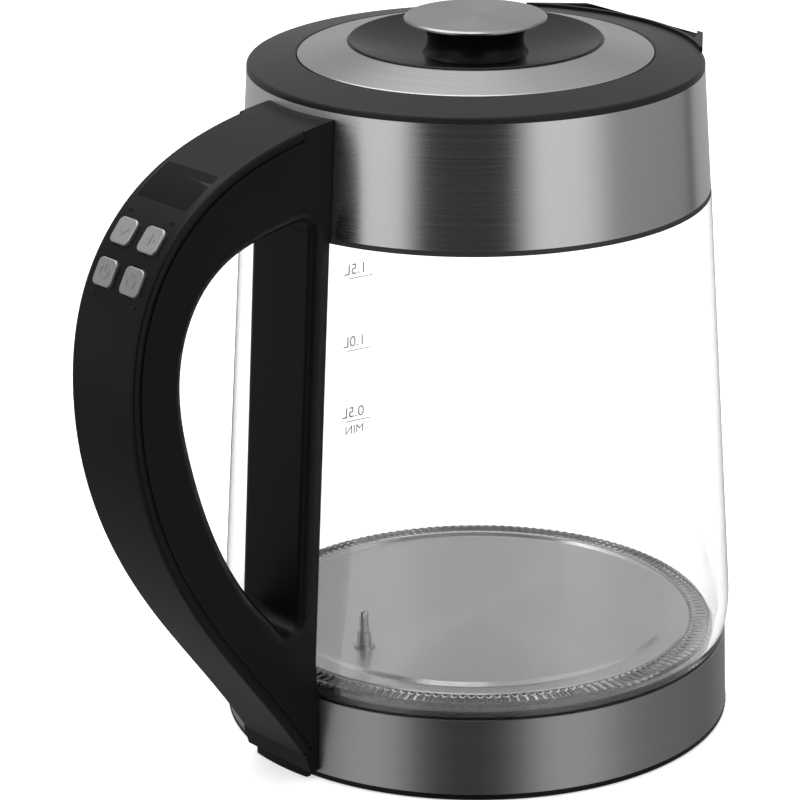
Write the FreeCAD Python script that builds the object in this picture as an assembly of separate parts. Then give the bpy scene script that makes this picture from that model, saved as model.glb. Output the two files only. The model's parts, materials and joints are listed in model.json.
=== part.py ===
import FreeCAD, Part
import math
import os

# Electric kettle with a glass jug, millimetres. The origin is on the jug's axis at the
# table, +Z is up, the spout points along +X and the handle stands on the -X side.

# Jug: outside radii and heights above the table
base_radius = 78.0
base_ring_height = 2.2
base_band_height = 23.7
base_band_bottom_radius = base_radius + 0.6
base_band_top_radius = base_radius + 0.06
belly_radius = 78.9
belly_height = 40.0
glass_top_radius = 71.4
glass_top_height = 167.9
glass_wall = 3.0
neck_depth = 9.1
neck_step = 1.1
seal_line = 1.5
top_band_bottom_radius = 71.2
rim_radius = 68.9
top_band_height = 37.1
band_sheet = 0.6
fit_gap = 0.1

# Rim, lid opening and lid
rim_side = 0.7
rim_crease_drop = 1.1
rim_rise = 4.4
lid_radius = 53.6
lid_gap = 0.3
lid_seat_width = 2.1
lid_rise = 3.5
dish_radius = 38.5
stem_radius = 16.0
knob_radius = 21.5
knob_height = 11.1
plug_wall = 2.2
plug_depth = 11.5

# Spout
spout_reach = 96.0
spout_half_angle = 35.0
spout_wall = 1.8
spout_lip_slope = 0.385
spout_keel_depth = 28.0

# Handle
handle_width = 30.0
handle_gap = 0.15
cover_depth = 5.2
cover_wall = 2.0
shell_wall = 2.2
column_thickness = 4.6
grip_round = 3.2
cover_round = 1.6
foot_height = 3.0
seam_distance = 11.7

# Display and keys, places measured along the cover from its top seam
display_place = 37.0
display_width = 23.0
display_length = 14.2
lens_thickness = 1.6
key_place = 55.8
key_pitch = 12.8
key_spread = 12.6
key_size = 8.4
key_proud = 1.0
key_gap = 0.25
key_travel = 0.8
key_body = 3.4
flange_margin = 0.7
flange_thickness = 0.8
board_depth = 7.4
board_thickness = 1.6

# Base fittings
plate_radius = 59.0
plate_groove_radius = 67.1
plate_height = 30.6
plate_sheet = 0.8
groove_depth = 1.0
light_ring_outer = 74.1
light_ring_gap = 0.6
probe_offset = 46.0
probe_radius = 2.15
probe_height = 12.0
floor_sheet = 2.2
socket_radius = 21.0
socket_bore = 14.0
socket_bore_depth = 12.6
screw_radius = 1.5
screw_head_radius = 2.8
cable_radius = 1.6

# Heights that follow from the values above
base_band_top = base_ring_height + base_band_height
neck_top = glass_top_height + neck_depth
band_start = glass_top_height + seal_line
rim_bottom = band_start + top_band_height
rim_top = rim_bottom + rim_rise
lid_ring_top = rim_top + lid_rise
total_height = lid_ring_top - 3.6 + knob_height
handle_top = rim_bottom - 1.9
gasket_floor = base_band_top - 5.3
glass_foot = gasket_floor + 1.3
lid_opening = lid_radius + lid_gap
throat_radius = lid_opening - lid_seat_width
lid_seat = rim_bottom + 0.9
plug_radius = throat_radius - 1.2

V = FreeCAD.Vector
UP = V(0, 0, 1)
AXIS = V(0, 0, 0)


def outline(path):
    """Face in the XZ plane. Each step is a point, or a pair: a point passed on an arc and its end."""
    edges = []
    here = V(path[0][0], 0, path[0][1])
    for step in list(path[1:]) + [path[0]]:
        if isinstance(step[0], tuple):
            middle = V(step[0][0], 0, step[0][1])
            there = V(step[1][0], 0, step[1][1])
            edges.append(Part.Arc(here, middle, there).toShape())
        else:
            there = V(step[0], 0, step[1])
            if there.distanceToPoint(here) > 1e-6:
                edges.append(Part.makeLine(here, there))
        here = there
    return Part.Face(Part.Wire(edges))


def turned(path):
    """Solid of revolution about the jug's axis, from radius and height pairs."""
    return Part.Solid(outline(path).revolve(AXIS, UP, 360))


def ring(inner, outer, bottom, top):
    return turned([(inner, bottom), (outer, bottom), (outer, top), (inner, top)])


def disc(radius, bottom, top, x=0.0, y=0.0):
    return Part.makeCylinder(radius, top - bottom, V(x, y, bottom))


def block(size, centre):
    corner = V(centre[0] - size[0] / 2, centre[1] - size[1] / 2, centre[2] - size[2] / 2)
    return Part.makeBox(size[0], size[1], size[2], corner)


def on_circle(radius, count, start=0.0):
    """Points evenly spaced round the axis."""
    angles = [math.radians(start + 360.0 * k / count) for k in range(count)]
    return [(radius * math.cos(a), radius * math.sin(a)) for a in angles]


def fused(first, *others):
    return first.fuse(list(others)).removeSplitter() if others else first


# ---------------------------------------------------------------- jug outline


def taper(low, high, height):
    """Radius on the straight line between two (radius, height) points."""
    share = (height - low[1]) / (high[1] - low[1])
    return low[0] + share * (high[0] - low[0])


def wall_radius(height):
    """Outside of the jug where the handle stands against it."""
    height = max(height, belly_height)
    return taper((belly_radius, belly_height), (rim_radius, rim_bottom), height)


def base_band_radius(height):
    return taper((base_band_bottom_radius, base_ring_height),
                 (base_band_top_radius, base_band_top), height)


def top_band_radius(height):
    return taper((top_band_bottom_radius, band_start), (rim_radius, rim_bottom), height)


glass_foot_radius = base_band_top_radius - band_sheet - 0.15
glass_waist = (glass_foot_radius + 1.15, base_band_top + 5.3)


def glass_outside(grow=0.0):
    """Glass outline from its foot to its shoulder, as radius and height steps."""
    return [(glass_foot_radius + grow, base_band_top),
            ((glass_waist[0] + grow, glass_waist[1]), (belly_radius + grow, belly_height)),
            (glass_top_radius + grow, glass_top_height)]


def make_glass_body():
    neck = glass_top_radius - neck_step
    inner_neck = glass_top_radius - glass_wall
    path = [(glass_foot_radius, glass_foot)] + glass_outside()
    path += [(neck, glass_top_height), (neck - 0.4, neck_top), (inner_neck - 0.5, neck_top),
             (inner_neck, glass_top_height), (belly_radius - glass_wall, belly_height),
             ((glass_waist[0] - glass_wall, glass_waist[1]),
              (glass_foot_radius - glass_wall, base_band_top)),
             (glass_foot_radius - glass_wall, glass_foot)]
    return turned(path)


def jug_envelope(gap):
    """Everything that the handle has to stay outside of."""
    path = [(0, -1), (base_band_bottom_radius + gap, -1),
            (base_band_bottom_radius + gap, base_ring_height),
            (base_band_top_radius + gap, base_band_top)]
    path += glass_outside(gap)
    path += [(top_band_bottom_radius + gap, band_start), (rim_radius + gap, rim_bottom),
             (rim_radius + gap, rim_top), (0, rim_top)]
    return turned(path)


# ---------------------------------------------------------------- base


def cable_window():
    """Way for the signal cable from the handle's foot into the base."""
    return block((18.0, 10.0, 10.0), (-base_radius + 2.0, 0, gasket_floor - 7.6))


def make_base_band():
    sleeve = turned([(base_band_bottom_radius - band_sheet, base_ring_height),
                     (base_band_bottom_radius, base_ring_height),
                     (base_band_top_radius, base_band_top),
                     (base_band_top_radius - band_sheet, base_band_top)])
    return sleeve.cut(cable_window()).cut(handle_screw_holes())


def screw_circle():
    return on_circle(base_radius - 9.0, 4, 45.0)


def make_base_cover():
    """Moulded bottom: foot ring, raised floor, spigot inside the steel band."""
    spigot = base_band_radius(base_ring_height) - band_sheet - 0.5
    foot_inner = base_radius - 5.5
    path = [(socket_radius + fit_gap, floor_sheet), (foot_inner, floor_sheet), (foot_inner, 0),
            (base_radius - 0.5, 0), ((base_radius + 0.65, 1.0), (base_radius + 0.7, base_ring_height)),
            (spigot, base_ring_height), (spigot, gasket_floor - 10.6),
            (spigot - 2.0, gasket_floor - 10.6), (spigot - 2.0, 2 * floor_sheet),
            (socket_radius + fit_gap, 2 * floor_sheet)]
    cover = turned(path)
    for x, y in screw_circle():
        cover = cover.cut(disc(screw_radius + fit_gap, 0, 3 * floor_sheet, x, y))
    vents = [block((14, 2.2, 3 * floor_sheet), (base_radius * 0.5, 0, floor_sheet))]
    for k in range(1, 12):
        slot = vents[0].copy()
        slot.rotate(AXIS, UP, 30.0 * k)
        vents.append(slot)
    return cover.cut(vents).cut(cable_window())


def make_base_chassis():
    """Carrier ring that holds the glass, the light ring and the plate."""
    outer = base_band_top_radius - band_sheet - 0.1
    path = [(outer - 5.3, gasket_floor - 10.5), (outer, gasket_floor - 10.5),
            (outer, gasket_floor), (plate_groove_radius + 5.4, gasket_floor),
            (plate_groove_radius + 5.4, gasket_floor + 1.9),
            (plate_groove_radius + 0.9, gasket_floor + 1.9),
            (plate_groove_radius + 0.9, gasket_floor), (62.0, gasket_floor),
            (62.0, gasket_floor - 3.0), (outer - 5.3, gasket_floor - 3.0)]
    chassis = turned(path)
    for x, y in screw_circle():
        chassis = chassis.fuse(disc(3.6, 2 * floor_sheet, gasket_floor - 2.5, x, y))
    for x, y in screw_circle():
        chassis = chassis.cut(disc(screw_radius + 0.05, 0, gasket_floor - 4.0, x, y))
    return chassis.cut(cable_window()).cut(handle_screw_holes())


def make_base_screws():
    screws = []
    for x, y in screw_circle():
        shaft = disc(screw_radius, floor_sheet - 1.6, gasket_floor - 5.0, x, y)
        head = disc(screw_head_radius, 0.5, floor_sheet, x, y)
        recess = disc(0.9, 0, 1.3, x, y)
        screws.append(fused(shaft, head).cut(recess))
    return Part.makeCompound(screws)


def make_glass_gasket():
    inner = glass_foot_radius - glass_wall
    return turned([(inner - 0.7, gasket_floor), (glass_foot_radius, gasket_floor),
                   (glass_foot_radius, glass_foot), (inner - 0.05, glass_foot),
                   (inner - 0.05, base_band_top), (inner - 0.7, base_band_top)])


def make_light_ring():
    inner = plate_groove_radius + light_ring_gap
    return turned([(inner, base_band_top), (light_ring_outer, base_band_top),
                   (light_ring_outer, plate_height - 1.0), (light_ring_outer - 0.8, plate_height - 0.2),
                   (inner, plate_height - 0.2)])


def make_plate_seal():
    return ring(plate_groove_radius, plate_groove_radius + light_ring_gap,
                base_band_top + 0.1, plate_height - 0.4)


def make_heater_plate():
    """Pressed stainless plate: flat disc, shallow ring groove and a turned-down rim."""
    top = plate_height
    low = top - groove_depth
    lip = top - 0.2
    edge = plate_groove_radius
    sheet = plate_sheet
    path = [(0, top - sheet), (plate_radius - 0.4, top - sheet), (plate_radius + 0.6, low - sheet),
            (edge - 1.8, low - sheet), (edge - sheet, low - 0.2), (edge - sheet, gasket_floor),
            (edge, gasket_floor), (edge, lip - 0.4), (edge - 0.4, lip), (edge - 0.9, lip),
            (edge - 1.7, low), (plate_radius + 1.2, low), (plate_radius, top), (0, top)]
    return turned(path).cut(disc(probe_radius + 0.2, top - 3, top + 3, -probe_offset, 0))


def make_heat_spreader():
    slab = disc(plate_radius - 3.0, plate_height - plate_sheet - 3.2, plate_height - plate_sheet)
    return slab.cut(disc(probe_radius + 0.2, 0, plate_height, -probe_offset, 0))


element_radius = 42.0
element_tube = 3.3
element_height = plate_height - plate_sheet - 3.3 - element_tube
element_gap_angle = 20.0


def element_end(side):
    angle = math.radians(180.0 - side * element_gap_angle)
    return element_radius * math.cos(angle), element_radius * math.sin(angle)


def make_heating_element():
    """Tubular element bent to a C, with its cold pins turned down."""
    circle = Part.Wire(Part.makeCircle(element_tube, V(element_radius, 0, element_height), V(0, 1, 0)))
    sweep = Part.Face(circle).revolve(AXIS, UP, 360.0 - 2 * element_gap_angle)
    sweep.rotate(AXIS, UP, element_gap_angle - 180.0)
    element = Part.Solid(sweep)
    pins = []
    for side in (1, -1):
        x, y = element_end(side)
        shift = side * 2.2
        pins.append(disc(1.5, element_height - 6.2, element_height, x + 0.8, y + shift * 0.9))
    return fused(element, *pins)


def make_element_terminals():
    tabs = []
    for side in (1, -1):
        x, y = element_end(side)
        tabs.append(block((0.8, 6.3, 7.0), (x + 0.8, y + side * 1.98, element_height - 9.7)))
    return Part.makeCompound(tabs)


def make_temperature_probe():
    """Sensor pin that stands on the plate, on a stepped collar."""
    stem = disc(probe_radius, plate_height - 6.6, plate_height + 5.0, -probe_offset, 0)
    pin = disc(1.4, plate_height, plate_height + probe_height, -probe_offset, 0)
    pin = pin.makeFillet(1.0, [e for e in pin.Edges if e.BoundBox.ZMin > plate_height + 1])
    flange = disc(probe_radius + 1.1, plate_height, plate_height + 0.6, -probe_offset, 0)
    nut = disc(4.0, plate_height - 6.6, plate_height - plate_sheet - 3.2, -probe_offset, 0)
    return fused(stem, pin, flange, nut)


socket_top = socket_bore_depth + 5.4
socket_mouth = 0.0


def contact_rings():
    low = socket_mouth + socket_bore_depth + 0.4
    high = socket_top - 0.6
    return [disc(2.0, low, high), ring(5.0, 5.8, low, high), ring(7.6, 8.4, low, high)]


def make_coupler_socket():
    """Round connector that drops over the boss of the power stand."""
    bore_end = socket_mouth + socket_bore_depth
    path = [(socket_bore, socket_mouth), (socket_radius, socket_mouth),
            (socket_radius, 2 * floor_sheet), (socket_radius + 3.5, 2 * floor_sheet),
            (socket_radius + 3.5, 2 * floor_sheet + 2.0), (socket_radius, 2 * floor_sheet + 2.0),
            (socket_radius, socket_top), (0, socket_top), (0, bore_end + 3.0), (9.2, bore_end + 3.0),
            (9.2, bore_end), (socket_bore, bore_end)]
    return turned(path).cut(contact_rings())


def make_coupler_contacts():
    return Part.makeCompound(contact_rings())


def make_dry_boil_cutout():
    """Bimetal cut-out that sits on the connector, under the plate."""
    body = block((26, 16, 3.6), (0, 0, socket_top + 1.8))
    body = body.makeFillet(1.2, [e for e in body.Edges if abs(e.tangentAt(0).z) > 0.9])
    bimetal = disc(8.0, socket_top + 3.6, socket_top + 4.6)
    return fused(body, bimetal)


def wire_tube(points, radius):
    """Round wire on straight runs joined by tangent arcs as large as the runs allow."""
    corners = [V(*p) for p in points]
    edges = []
    here = corners[0]
    for k in range(1, len(corners) - 1):
        back = corners[k - 1] - corners[k]
        ahead = corners[k + 1] - corners[k]
        half_turn = (math.pi - back.getAngle(ahead)) / 2
        reach = 0.45 * min(back.Length, ahead.Length)
        bend = reach / math.tan(half_turn)
        back.normalize()
        ahead.normalize()
        start = corners[k] + back * reach
        end = corners[k] + ahead * reach
        inward = (back + ahead).normalize()
        middle = corners[k] + inward * (bend / math.cos(half_turn) - bend)
        edges.append(Part.makeLine(here, start))
        edges.append(Part.Arc(start, middle, end).toShape())
        here = end
    edges.append(Part.makeLine(here, corners[-1]))
    path = Part.Wire(edges)
    direction = (corners[1] - corners[0]).normalize()
    section = Part.Wire(Part.makeCircle(radius, corners[0], direction))
    return Part.Solid(path.makePipeShell([section], True, True))


def make_base_wires():
    wires = []
    for side in (1, -1):
        x, y = element_end(side)
        tab_foot = element_height - 13.2
        wires.append(wire_tube([(-socket_radius - 0.2, side * 6.0, tab_foot), (-29.0, side * 9.0, tab_foot - 2.2),
                                (x + 0.8, y + side * 1.98, tab_foot - 3.6),
                                (x + 0.8, y + side * 1.98, tab_foot)], 1.1))
    return Part.makeCompound(wires)


led_board_bottom = gasket_floor + 1.9


def make_led_board():
    return ring(plate_groove_radius + 0.3, light_ring_outer - 0.8, led_board_bottom,
                led_board_bottom + 1.4)


def make_leds():
    lamps = []
    middle = (plate_groove_radius + light_ring_outer) / 2
    for k in range(24):
        lamp = block((1.8, 3.0, 1.2), (middle, 0, led_board_bottom + 2.0))
        lamp.rotate(AXIS, UP, 15.0 * k + 7.5)
        lamps.append(lamp)
    return Part.makeCompound(lamps)


# ---------------------------------------------------------------- spout and rim


def beak(reach, half_width, back, lip_rise, floor_lift, foot_lift):
    """Wedge with a V plan, a lip that dips to the tip and a V keel; all of its faces are flat."""
    start = back
    knee = rim_radius + 1.1
    lip = rim_bottom + 3.1 + lip_rise
    flank = half_width / (reach - flank_start_x())
    half_start = flank * (reach - start)
    half_knee = flank * (reach - knee)
    tip_lip = rim_bottom + 3.1 - spout_lip_slope * (spout_reach - knee) + lip_rise
    tip_foot = rim_bottom + 3.1 - spout_lip_slope * (spout_reach - knee) - 1.4 + floor_lift
    keel = rim_bottom + 3.1 - spout_keel_depth + floor_lift
    flank_foot = rim_bottom - 1.0 + foot_lift
    tip_high = V(reach, 0, tip_lip)
    tip_low = V(reach, 0, tip_foot)
    root = V(start, 0, keel)
    sides = {}
    for side in (1, -1):
        sides[side] = (V(start, side * half_start, lip), V(knee, side * half_knee, lip),
                       V(start, side * half_start, flank_foot))
    high, mid, low = sides[1]
    high2, mid2, low2 = sides[-1]
    faces = [(high, low, root, low2, high2), (high, mid, mid2, high2), (mid, tip_high, mid2),
             (high, mid, tip_high, tip_low, low), (high2, mid2, tip_high, tip_low, low2),
             (low, tip_low, root), (low2, tip_low, root)]
    shells = [Part.Face(Part.makePolygon(list(f) + [f[0]])) for f in faces]
    solid = Part.Solid(Part.Shell(shells))
    if solid.Volume < 0:
        solid.reverse()
    return solid


def flank_start_x():
    return rim_radius * math.cos(math.radians(spout_half_angle))


def flank_half_width():
    return rim_radius * math.sin(math.radians(spout_half_angle))


def beak_outside():
    return beak(spout_reach, flank_half_width(), flank_start_x(), 0.0, 0.0, 0.0)


def beak_channel():
    """Hollow of the spout, open at the top and carried inwards through collar and band."""
    shift = spout_wall * math.sqrt(2)
    keep = ring(0, rim_radius + 0.5, rim_bottom - 1.3, rim_top + 20)
    hollow = beak(spout_reach - shift, flank_half_width() - shift, flank_start_x(),
                  8.0, spout_wall * 1.3, spout_wall * 1.3)
    neck_low = rim_bottom + 3.1 - spout_keel_depth + spout_wall * 1.3 + 4.4
    inward = block((24.0, 26.0, rim_bottom - 1.3 - neck_low - 3.0),
                   (flank_start_x(), 0, (neck_low + 3.0 + rim_bottom - 1.3) / 2))
    return hollow.fuse(inward).cut(keep)


def make_top_rim():
    """Black top moulding: rim plate, lid seat, skirt inside the steel band, and the spout."""
    side_top = rim_bottom + rim_side
    crease = (rim_radius - rim_crease_drop, rim_bottom + 2.2)
    skirt_out = top_band_radius(rim_bottom) - band_sheet - fit_gap
    skirt_low = rim_bottom - 10.5
    skirt_out_low = top_band_radius(skirt_low) - band_sheet - fit_gap
    path = [(throat_radius, rim_bottom - 3.0), (throat_radius + 2.7, rim_bottom - 3.0),
            (throat_radius + 4.7, rim_bottom - 1.3), (skirt_out - 2.8, rim_bottom - 1.3),
            (skirt_out - 2.8, skirt_low), (skirt_out_low, skirt_low), (skirt_out, rim_bottom),
            (rim_radius, rim_bottom), (rim_radius, side_top),
            ((rim_radius - 0.25, side_top + 1.0), crease),
            (lid_opening + 0.5, rim_top - 0.05), (lid_opening, rim_top - 0.4),
            (lid_opening, lid_seat), (throat_radius, lid_seat)]
    inside_band = turned([(0, 100), (top_band_radius(100), 100), (rim_radius, rim_bottom),
                          (rim_radius - 0.6, rim_bottom), (rim_radius - 0.6, rim_top + 10),
                          (0, rim_top + 10)])
    spout = beak_outside().cut(inside_band)
    return fused(turned(path), spout).cut(beak_channel())


def make_top_band():
    sleeve = turned([(top_band_bottom_radius - band_sheet, band_start),
                     (top_band_bottom_radius, band_start), (rim_radius, rim_bottom),
                     (rim_radius - band_sheet, rim_bottom)])
    return sleeve.cut(beak_outside()).cut(handle_screw_holes())


def make_neck_seal():
    neck = glass_top_radius - neck_step
    return turned([(neck + 0.05, glass_top_height), (glass_top_radius - 0.05, glass_top_height),
                   (top_band_bottom_radius + 0.05, band_start), (neck + 0.05, band_start)])


def make_collar():
    """Plastic ring inside the steel band, seated on the glass neck."""
    seat = neck_top + 1.2
    low_out = top_band_radius(seat) - band_sheet - fit_gap
    top = rim_bottom - 10.5
    top_out = top_band_radius(top) - band_sheet - fit_gap
    tongue = glass_top_radius - glass_wall - 0.6
    path = [(tongue - 2.0, neck_top - 5.0), (tongue, neck_top - 5.0), (tongue, seat),
            (low_out, seat), (top_out, top), (top_out - 2.8, top), (tongue - 2.0, seat + 3.0)]
    return turned(path).cut(beak_outside()).cut(handle_screw_holes())


def make_collar_seal():
    tongue = glass_top_radius - glass_wall - 0.6
    return ring(tongue + 0.05, glass_top_radius - neck_step - 0.4, neck_top, neck_top + 1.2)


def make_spout_filter():
    """Removable scale filter: a curved frame with slots, clipped across the spout's mouth."""
    outer = top_band_radius(rim_bottom - 10.5) - band_sheet - fit_gap - 3.5
    low = rim_bottom - 20.0
    high = rim_bottom - 3.2
    frame = ring(outer - 1.4, outer, low, high)
    sector = block((40, 46, 60), (outer, 0, (low + high) / 2))
    frame = frame.common(sector)
    slots = []
    for row in range(4):
        for column in range(-4, 5):
            slot = block((10, 2.6, 2.4), (outer, 0, low + 3.2 + 3.5 * row))
            slot.rotate(AXIS, UP, column * 3.9)
            slots.append(slot)
    return frame.cut(slots)


# ---------------------------------------------------------------- lid

lid_ring_sheet = 0.8
plug_bottom = lid_seat - plug_depth
dish_floor = lid_seat + 0.8


def make_lid_body():
    """Moulded lid: flange on the rim's seat, plug wall below and screw bosses."""
    ceiling = lid_seat - 1.2
    path = [(0, ceiling), (0, dish_floor), (dish_radius - 4.5, dish_floor),
            (dish_radius - 0.7, lid_ring_top - 1.8), (dish_radius, lid_ring_top - lid_ring_sheet - 0.1),
            (lid_radius - 0.6, rim_top - lid_ring_sheet + 0.1), (lid_radius, rim_top - lid_ring_sheet + 0.1),
            (lid_radius, lid_seat + 0.1), (plug_radius, lid_seat + 0.1), (plug_radius, plug_bottom),
            (plug_radius - plug_wall, plug_bottom), (plug_radius - plug_wall, ceiling)]
    body = turned(path)
    for x, y in on_circle(plug_radius - 16.0, 3, 90.0):
        body = body.fuse(disc(3.2, plug_bottom, ceiling + 0.2, x, y))
        body = body.cut(disc(screw_radius + 0.05, plug_bottom, ceiling - 1.5, x, y))
    return body


def make_lid_trim_ring():
    """Brushed steel cone ring with a bright turned edge."""
    under = rim_top - lid_ring_sheet + 0.1
    return turned([(lid_radius, under), (lid_radius, rim_top - 0.15), (lid_radius - 0.3, rim_top + 0.05),
                   (dish_radius + 0.1, lid_ring_top), (dish_radius + 0.1, lid_ring_top - lid_ring_sheet),
                   (lid_radius - 0.6, under)])


def make_lid_dish():
    """Black dish inside the steel ring, concave down to the knob's stem."""
    lip = lid_ring_top + 0.6
    path = [(stem_radius, dish_floor), (dish_radius - 4.6, dish_floor),
            (dish_radius - 0.8, lid_ring_top - 1.7), (dish_radius, lid_ring_top - 0.8),
            (dish_radius, lip - 0.6), ((dish_radius - 0.25, lip - 0.15), (dish_radius - 0.9, lip)),
            ((stem_radius + 10.5, dish_floor + 3.9), (stem_radius, dish_floor + 2.4))]
    return turned(path)


def make_knob_stem():
    top = total_height - 2.7
    path = [(0, dish_floor), (stem_radius - 0.02, dish_floor), (stem_radius - 0.02, dish_floor + 2.4),
            ((stem_radius - 1.6, dish_floor + 6.4), (stem_radius + 0.6, top)), (0, top)]
    return turned(path)


def make_knob_cap():
    top = total_height
    path = [(0, top - 2.7), (stem_radius + 1.5, top - 2.7), (knob_radius, top - 1.2),
            (knob_radius, top - 0.7), (knob_radius - 0.5, top - 0.2), (0, top)]
    return turned(path)


def make_lid_seal():
    low = lid_seat - 3.4
    return turned([(plug_radius, low), (throat_radius - 0.9, low), (throat_radius - lid_gap, low + 1.0),
                   (throat_radius - 0.6, low + 1.6), (throat_radius - lid_gap, low + 2.4),
                   (plug_radius, low + 2.6)])


def make_lid_bottom_plate():
    plate = disc(plug_radius - 0.1, plug_bottom - 1.0, plug_bottom)
    for x, y in on_circle(plug_radius - 16.0, 3, 90.0):
        plate = plate.cut(disc(screw_radius + fit_gap, 0, rim_top, x, y))
    return plate


def make_lid_screws():
    screws = []
    for x, y in on_circle(plug_radius - 16.0, 3, 90.0):
        head = disc(screw_head_radius, plug_bottom - 2.4, plug_bottom - 1.0, x, y)
        shaft = disc(screw_radius, plug_bottom - 2.0, lid_seat - 3.6, x, y)
        recess = disc(0.9, plug_bottom - 2.5, plug_bottom - 1.8, x, y)
        screws.append(fused(head, shaft).cut(recess))
    return Part.makeCompound(screws)


# ---------------------------------------------------------------- handle

# Outlines of the handle seen from the side: distance out from the jug's wall, and share
# of the height between the foot and the top.
GRIP_OUTSIDE = ((-2.0, 1.0), (22.7, 0.977), (46.5, 0.92), (64.1, 0.806), (68.8, 0.63),
                (60.8, 0.459), (39.2, 0.27), (24.4, 0.176), (3.4, 0.03))
GRIP_INSIDE = ((22.4, 0.846), (33.2, 0.828), (43.4, 0.787), (50.9, 0.66), (46.6, 0.545),
               (39.5, 0.446), (22.7, 0.304), (12.4, 0.2445))
OPENING_TOP = 0.862
OPENING_BOTTOM = 0.19


def at_share(distance, share):
    height = foot_height + share * (handle_top - foot_height)
    return V(-(wall_radius(height) + distance), 0, height)


def spline(points):
    curve = Part.BSplineCurve()
    curve.interpolate(points)
    return curve


def normal_at(curve, parameter):
    """Unit vector out of the grip's back, for a curve that runs from the top to the foot."""
    along = curve.tangent(parameter)[0]
    return V(along.z, 0, -along.x)


def shifted(curve, distance, count=14):
    """Curve that runs a distance outside another one."""
    first, last = curve.FirstParameter, curve.LastParameter
    points = []
    for k in range(count):
        parameter = first + (last - first) * k / (count - 1)
        points.append(curve.value(parameter) + normal_at(curve, parameter) * distance)
    return spline(points)


grip_back = spline([at_share(*p) for p in GRIP_OUTSIDE])
grip_back_edge = grip_back.toShape()


def between(outer_curve, inner_curve, half_width):
    """Strip of the handle between two side curves, as wide as the handle or less."""
    outer_edge = outer_curve.toShape()
    inner_edge = inner_curve.toShape()
    starts = (outer_curve.value(outer_curve.FirstParameter), inner_curve.value(inner_curve.FirstParameter))
    ends = (outer_curve.value(outer_curve.LastParameter), inner_curve.value(inner_curve.LastParameter))
    wire = Part.Wire(Part.__sortEdges__([outer_edge, Part.makeLine(ends[0], ends[1]), inner_edge,
                                         Part.makeLine(starts[1], starts[0])]))
    face = Part.Face(wire)
    face.translate(V(0, -half_width, 0))
    return face.extrude(V(0, 2 * half_width, 0))


def seam_cut(extra=0.0):
    """Half space on the jug's side of the seam between the bridge and the cover."""
    place = grip_back.value(grip_back_edge.getParameterByLength(seam_distance))
    return block((60, 60, 60), (place.x + 30 - extra, 0, place.z))


def foot_cut():
    """Everything below the foot of the cover."""
    return block((80, 60, 40), (-base_radius - 10, 0, foot_height + 4.0 - 20))


def envelope():
    """Whole handle with no opening: from the grip's back to the jug's wall."""
    half = handle_width / 2
    top = grip_back.value(grip_back.FirstParameter)
    low = grip_back.value(grip_back.LastParameter)
    inner_x = -rim_radius + 14.0
    heel = (V(-wall_radius(0) - 1.6, 0, foot_height), V(inner_x, 0, foot_height))
    edges = [grip_back.toShape(), Part.makeLine(low, heel[0]), Part.makeLine(heel[0], heel[1]),
             Part.makeLine(heel[1], V(inner_x, 0, top.z)), Part.makeLine(V(inner_x, 0, top.z), top)]
    face = Part.Face(Part.Wire(edges))
    face.translate(V(0, -half, 0))
    return face.extrude(V(0, 2 * half, 0))


def opening_curve():
    points = [at_share(column_thickness, OPENING_TOP)]
    points += [at_share(*p) for p in GRIP_INSIDE]
    points += [at_share(column_thickness, OPENING_BOTTOM)]
    return spline(points)


def finger_opening():
    half = handle_width / 2 + 5
    curve = opening_curve()
    start = curve.value(curve.FirstParameter)
    end = curve.value(curve.LastParameter)
    face = Part.Face(Part.Wire([curve.toShape(), Part.makeLine(end, start)]))
    face.translate(V(0, -half, 0))
    prism = face.extrude(V(0, 2 * half, 0))
    corners = [e for e in prism.Edges if abs(abs(e.tangentAt(e.FirstParameter).y) - 1) < 1e-6
               and e.Length > half]
    return prism.makeFillet(4.0, corners)


def key_places():
    """Distance along the grip's back and sideways place of each key."""
    upper = seam_distance + key_place
    lower = upper + key_pitch
    side = key_spread / 2
    return {"minus": (upper, side), "plus": (upper, -side),
            "power": (lower, side), "keep_warm": (lower, -side)}


def on_grip(distance, sideways=0.0):
    """Placement on the grip's back: local X is sideways, Y runs to the foot, Z points out."""
    parameter = grip_back_edge.getParameterByLength(distance)
    along = grip_back.tangent(parameter)[0]
    out = normal_at(grip_back, parameter)
    turn = FreeCAD.Rotation(V(0, 1, 0), along, out, "ZXY")
    return FreeCAD.Placement(grip_back.value(parameter) + V(0, sideways, 0), turn)


def rounded_block(width, length, low, high, radius):
    """Upright block with rounded corners in the local frame, centred on its axis."""
    solid = Part.makeBox(width, length, high - low, V(-width / 2, -length / 2, low))
    upright = [e for e in solid.Edges if e.BoundBox.ZLength > (high - low) * 0.9]
    return solid.makeFillet(radius, upright)


def placed(shape, placement):
    copy = shape.copy()
    copy.Placement = placement
    return copy


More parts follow.
